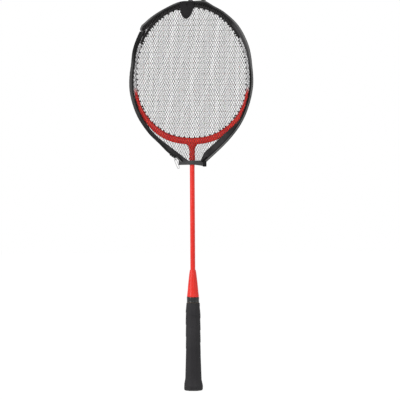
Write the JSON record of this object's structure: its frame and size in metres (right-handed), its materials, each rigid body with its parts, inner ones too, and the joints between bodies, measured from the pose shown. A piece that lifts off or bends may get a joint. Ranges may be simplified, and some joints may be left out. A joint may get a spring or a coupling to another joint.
{
  "type": "badminton racket in a zipped net cover",
  "caption": "Long slim-shafted racket with an oval strung head, and a zipped net cover bound in black cloth over the head.",
  "frame": {"origin": "centre of the flat end face of the butt", "axes": "+Z from the butt along the shaft to the crown of the head; the face of the head looks towards -Y; +X to the right seen from that side, so the zip is on -X"},
  "size_m": [0.212, 0.0324, 0.6933],
  "materials": {
    "hoop_paint": "gloss paint: black at the crown, silver at the sides, red at the throat",
    "red_paint": "gloss red paint",
    "grommet_plastic": "moulded, semi-matt",
    "string": "white nylon",
    "handle_wood": "bare",
    "grip_leatherette": "soft matt, perforated",
    "collar_vinyl": "gloss tape",
    "butt_plastic": "moulded, matt",
    "net": "open diamond netting of dark thread",
    "black_cloth": "ribbed cloth",
    "binding_cloth": "folded binding tape with a stitched ridge",
    "grey_webbing": "woven webbing",
    "zip_tape": "woven tape",
    "zip_teeth": "moulded teeth",
    "slider_enamel": "black enamel, semi-gloss",
    "zip_metal": "bright plated"
  },
  "bodies": {
    "racket": {"binding_back": "binding_cloth", "binding_front": "binding_cloth", "butt_cap": "butt_plastic", "cone_ferrule": "red_paint", "cover_net_back": "net", "cover_net_front": "net", "cover_wedge_back_left": "black_cloth", "cover_wedge_back_right": "black_cloth", "cover_wedge_front_right": "black_cloth", "cross_string": "string", "crown_tongue": "black_cloth", "grip_collar": "collar_vinyl", "grip_wrap": "grip_leatherette", "grommet_strip_left_1": "grommet_plastic", "grommet_strip_left_2": "grommet_plastic", "grommet_strip_left_3": "grommet_plastic", "grommet_strip_left_4": "grommet_plastic", "grommet_strip_right_1": "grommet_plastic", "grommet_strip_right_2": "grommet_plastic", "grommet_strip_right_3": "grommet_plastic", "grommet_strip_right_4": "grommet_plastic", "handle_core": "handle_wood", "hanging_loop": "grey_webbing", "head_frame": "hoop_paint", "hem_back": "grey_webbing", "main_string": "string", "mouth_tab": "black_cloth", "shaft": "red_paint", "throat_joint": "red_paint", "zip_end_stop": "zip_metal", "zip_stop_back": "zip_metal", "zip_tape_back": "zip_tape", "zip_teeth_back": "zip_teeth"},
    "flap": {"cover_net_flap": "net", "cover_wedge_front_left": "black_cloth", "binding_flap": "binding_cloth", "hem_flap": "grey_webbing", "zip_tape_flap": "zip_tape", "zip_teeth_flap": "zip_teeth", "zip_stop_flap": "zip_metal"},
    "slider": {"zip_slider": "slider_enamel"},
    "puller": {"zip_puller": "zip_metal"}
  },
  "joints": [
    {"name": "zip_run", "type": "hinge", "parent": "racket", "child": "slider", "pos_m": [0.06311, 0, 0.5429], "axis": [0, 1, 0], "range_deg": [0, 78]},
    {"name": "flap_fold", "type": "hinge", "parent": "racket", "child": "flap", "pos_m": [-0.08593, -0.0064, 0.62281], "axis": [-0.408, 0, 0.913], "range_deg": [0, 117]},
    {"name": "pull_swing", "type": "hinge", "parent": "slider", "child": "puller", "pos_m": [-0.02941, 0, 0.39855], "axis": [0.9272, 0, 0.3746], "range_deg": [-75, 75]}
  ],
  "couplings": [
    {"joint": "flap_fold", "follows": "zip_run", "ratio": 1.5}
  ]
}
